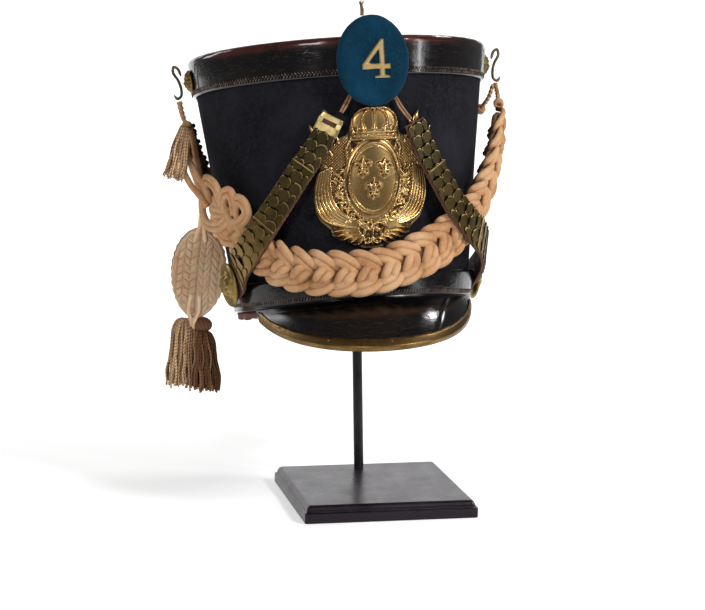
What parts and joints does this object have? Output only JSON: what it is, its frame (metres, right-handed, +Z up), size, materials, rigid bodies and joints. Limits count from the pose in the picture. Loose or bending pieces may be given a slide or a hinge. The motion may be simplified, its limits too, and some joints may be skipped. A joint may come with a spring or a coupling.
{
  "type": "shako hat on a display stand",
  "caption": "Bell-topped military shako of felt and leather with peak, front plate, scaled chin straps, plaited cords, tassels and pompom, on a post and plate stand.",
  "frame": {"origin": "centre of the stand plate's underside", "axes": "-Y is the hat's front, where the peak and plate are, +X is the viewer's right when facing the front, and +Z is up; the hat is tipped back about ten degrees on its post"},
  "size_m": [0.2572, 0.2831, 0.3651],
  "materials": {
    "black_felt": "matt wool felt with a fine nap",
    "black_leather": "glossy varnished leather, scratched and rubbed",
    "brown_leather": "worn, dull",
    "aged_brass": "stamped sheet with a dull olive patina",
    "dark_wire": "dark bronze wire",
    "blue_wool": "felted wool",
    "tuft": "frayed twisted thread",
    "pale_cord": "knitted cotton cord",
    "stand_lacquer": "dark satin lacquer",
    "stand_metal": "satin black"
  },
  "bodies": {
    "root": {"felt_body": "black_felt", "crown_top": "black_leather", "top_band": "black_leather", "lower_band": "black_leather", "peak": "black_leather", "sweatband": "brown_leather", "strap_left": "brown_leather", "strap_right": "brown_leather", "thong_left": "brown_leather", "thong_right": "brown_leather", "peak_trim": "aged_brass", "front_plate": "aged_brass", "pompom_numeral": "aged_brass", "strap_end_left": "aged_brass", "chin_boss_left": "aged_brass", "chin_boss_right": "aged_brass", "hook_boss_left": "aged_brass", "hook_boss_right": "aged_brass", "scales_left_1": "aged_brass", "scales_left_2": "aged_brass", "scales_left_3": "aged_brass", "scales_left_4": "aged_brass", "scales_left_5": "aged_brass", "scales_right_1": "aged_brass", "scales_right_2": "aged_brass", "scales_right_3": "aged_brass", "scales_right_4": "aged_brass", "scales_right_5": "aged_brass", "scales_right_6": "aged_brass", "hook_left": "dark_wire", "hook_right": "dark_wire", "pompom": "blue_wool", "pompom_tip": "tuft", "front_plait": "pale_cord", "back_plait": "pale_cord", "side_cords": "pale_cord", "hook_string_left": "pale_cord", "hook_string_right": "pale_cord", "hook_string_back_left": "pale_cord", "hook_string_back_right": "pale_cord", "raquette": "pale_cord", "tassel": "pale_cord", "small_tassel": "pale_cord", "stand_plate": "stand_lacquer", "stand_post": "stand_metal"}
  },
  "joints": []
}
